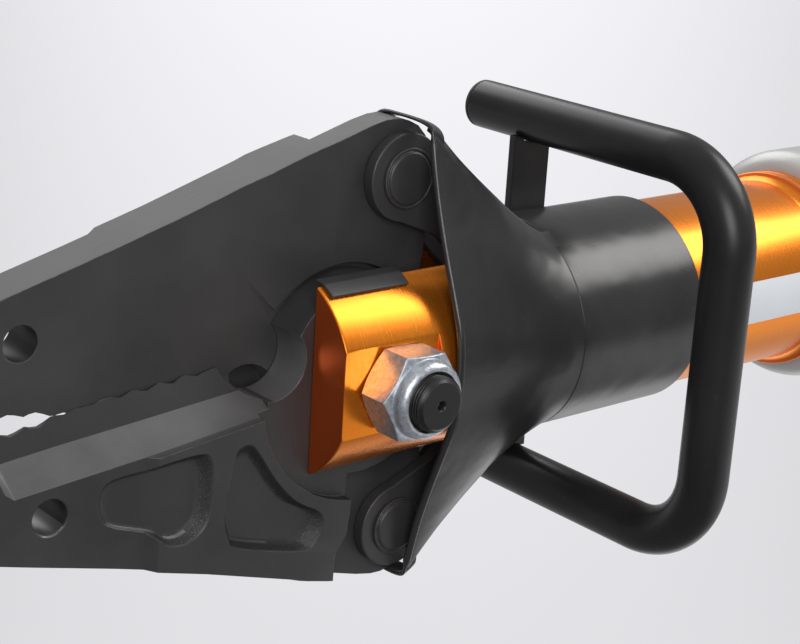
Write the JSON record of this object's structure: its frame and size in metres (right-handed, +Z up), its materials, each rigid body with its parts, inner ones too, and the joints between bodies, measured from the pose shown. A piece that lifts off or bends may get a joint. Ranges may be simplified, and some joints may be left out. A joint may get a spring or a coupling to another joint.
{
  "type": "hydraulic rescue cutter",
  "caption": "Hydraulic rescue combination tool: forked cylinder, forged cutting and spreading arms on a pivot bolt, black hood, U-shaped carrying handle, valve housing and rear grip.",
  "frame": {"origin": "centre of the outer face of the pivot bolt head", "axes": "+X from the jaw tips to the rear end, +Z up with the upper arm, the pivot nut faces -Y"},
  "size_m": [0.75, 0.1756, 0.2112],
  "materials": {
    "barrel": "orange anodised aluminium, polished",
    "hood": "semi-gloss black cover",
    "cheek_guard_near": "thin black strip",
    "cheek_guard_far": "thin black strip",
    "u_handle": "satin black tube",
    "handle_cap_upper": "black plug",
    "handle_cap_lower": "black plug",
    "handle_strap_upper": "satin black flat bar",
    "handle_strap_lower": "satin black flat bar",
    "pivot_bolt": "black oxide steel",
    "pivot_nut": "bright zinc plate",
    "nut_insert": "pale nylon ring",
    "lower_arm": "forged steel, black oxide, ground cutting edge",
    "upper_arm": "forged steel, black oxide, ground cutting edge",
    "lower_bush": "bronze bush",
    "upper_bush": "bronze bush",
    "upper_link_near": "black oxide steel",
    "upper_link_far": "black oxide steel",
    "lower_link_near": "black oxide steel",
    "lower_link_far": "black oxide steel",
    "upper_tail_pin": "black oxide steel",
    "lower_tail_pin": "black oxide steel",
    "upper_ring": "spring steel",
    "lower_ring": "spring steel",
    "crosshead": "machined steel",
    "crosshead_pin_upper": "ground steel",
    "crosshead_pin_lower": "ground steel",
    "piston_rod": "hard chrome",
    "piston": "machined steel",
    "piston_seal": "seal rubber",
    "wear_ring": "filled polymer",
    "piston_nut": "machined steel",
    "gland": "bronze",
    "rod_seal": "seal rubber",
    "rod_wiper": "seal rubber",
    "gland_oring": "seal rubber",
    "blank_label": "blank white sticker",
    "rear_housing": "satin silver-grey",
    "housing_screw_1": "black oxide steel",
    "housing_screw_2": "black oxide steel",
    "housing_screw_3": "black oxide steel",
    "housing_screw_4": "black oxide steel",
    "relief_plug": "machined steel",
    "valve_spool": "ground steel",
    "return_spring": "spring wire",
    "control_grip": "moulded grip",
    "rear_handle": "satin black bar",
    "coupler_pressure": "zinc plate",
    "coupler_return": "zinc plate",
    "coupler_sleeve_pressure": "knurled steel",
    "coupler_sleeve_return": "knurled steel",
    "dust_cap_pressure": "red cap",
    "dust_cap_return": "black cap"
  },
  "bodies": {
    "frame": {"barrel": "barrel", "hood": "hood", "cheek_guard_near": "cheek_guard_near", "cheek_guard_far": "cheek_guard_far", "u_handle": "u_handle", "handle_cap_upper": "handle_cap_upper", "handle_cap_lower": "handle_cap_lower", "handle_strap_upper": "handle_strap_upper", "handle_strap_lower": "handle_strap_lower", "pivot_bolt": "pivot_bolt", "pivot_nut": "pivot_nut", "nut_insert": "nut_insert", "gland": "gland", "rod_seal": "rod_seal", "rod_wiper": "rod_wiper", "gland_oring": "gland_oring", "blank_label": "blank_label", "rear_housing": "rear_housing", "housing_screw_1": "housing_screw_1", "housing_screw_2": "housing_screw_2", "housing_screw_3": "housing_screw_3", "housing_screw_4": "housing_screw_4", "relief_plug": "relief_plug", "return_spring": "return_spring", "rear_handle": "rear_handle", "coupler_pressure": "coupler_pressure", "coupler_return": "coupler_return"},
    "upper_jaw": {"upper_arm": "upper_arm", "upper_bush": "upper_bush", "upper_tail_pin": "upper_tail_pin", "upper_ring": "upper_ring"},
    "lower_jaw": {"lower_arm": "lower_arm", "lower_bush": "lower_bush", "lower_tail_pin": "lower_tail_pin", "lower_ring": "lower_ring"},
    "upper_links": {"upper_link_near": "upper_link_near", "upper_link_far": "upper_link_far"},
    "lower_links": {"lower_link_near": "lower_link_near", "lower_link_far": "lower_link_far"},
    "ram": {"crosshead": "crosshead", "crosshead_pin_upper": "crosshead_pin_upper", "crosshead_pin_lower": "crosshead_pin_lower", "piston_rod": "piston_rod", "piston": "piston", "piston_seal": "piston_seal", "wear_ring": "wear_ring", "piston_nut": "piston_nut"},
    "control": {"control_grip": "control_grip", "valve_spool": "valve_spool"},
    "sleeve_pressure": {"coupler_sleeve_pressure": "coupler_sleeve_pressure"},
    "sleeve_return": {"coupler_sleeve_return": "coupler_sleeve_return"},
    "cap_pressure": {"dust_cap_pressure": "dust_cap_pressure"},
    "cap_return": {"dust_cap_return": "dust_cap_return"}
  },
  "joints": [
    {"name": "upper_arm_hinge", "type": "hinge", "parent": "frame", "child": "upper_jaw", "pos_m": [0, -0.0576, 0], "axis": [0, 1, 0], "range_deg": [0, 27]},
    {"name": "lower_arm_hinge", "type": "hinge", "parent": "frame", "child": "lower_jaw", "pos_m": [0, -0.0576, 0], "axis": [0, -1, 0], "range_deg": [0, 27]},
    {"name": "ram_slide", "type": "slide", "parent": "frame", "child": "ram", "axis": [1, 0, 0], "range_m": [0, 0.04887]},
    {"name": "upper_link_hinge", "type": "hinge", "parent": "upper_jaw", "child": "upper_links", "pos_m": [0.0267, -0.0576, 0.0793], "axis": [0, -1, 0], "range_deg": [0, 43.07]},
    {"name": "lower_link_hinge", "type": "hinge", "parent": "lower_jaw", "child": "lower_links", "pos_m": [0.0267, -0.0576, -0.0793], "axis": [0, 1, 0], "range_deg": [0, 43.07]},
    {"name": "control_turn", "type": "hinge", "parent": "frame", "child": "control", "pos_m": [0.38, -0.0576, 0], "axis": [1, 0, 0], "range_deg": [-35, 35], "stiffness_Nm_per_rad": 0.4},
    {"name": "pressure_sleeve_slide", "type": "slide", "parent": "frame", "child": "sleeve_pressure", "axis": [-1, 0, 0], "range_m": [0, 0.004], "stiffness_N_per_m": 600},
    {"name": "return_sleeve_slide", "type": "slide", "parent": "frame", "child": "sleeve_return", "axis": [-1, 0, 0], "range_m": [0, 0.004], "stiffness_N_per_m": 600},
    {"name": "pressure_cap_pull", "type": "slide", "parent": "frame", "child": "cap_pressure", "axis": [1, 0, 0], "range_m": [0, 0.02]},
    {"name": "return_cap_pull", "type": "slide", "parent": "frame", "child": "cap_return", "axis": [1, 0, 0], "range_m": [0, 0.02]}
  ],
  "couplings": [
    {"joint": "lower_arm_hinge", "follows": "upper_arm_hinge", "ratio": 1},
    {"joint": "ram_slide", "follows": "upper_arm_hinge", "m_per_rad": 0.1035},
    {"joint": "upper_link_hinge", "follows": "upper_arm_hinge", "ratio": 1.5914},
    {"joint": "lower_link_hinge", "follows": "upper_arm_hinge", "ratio": 1.5914}
  ]
}
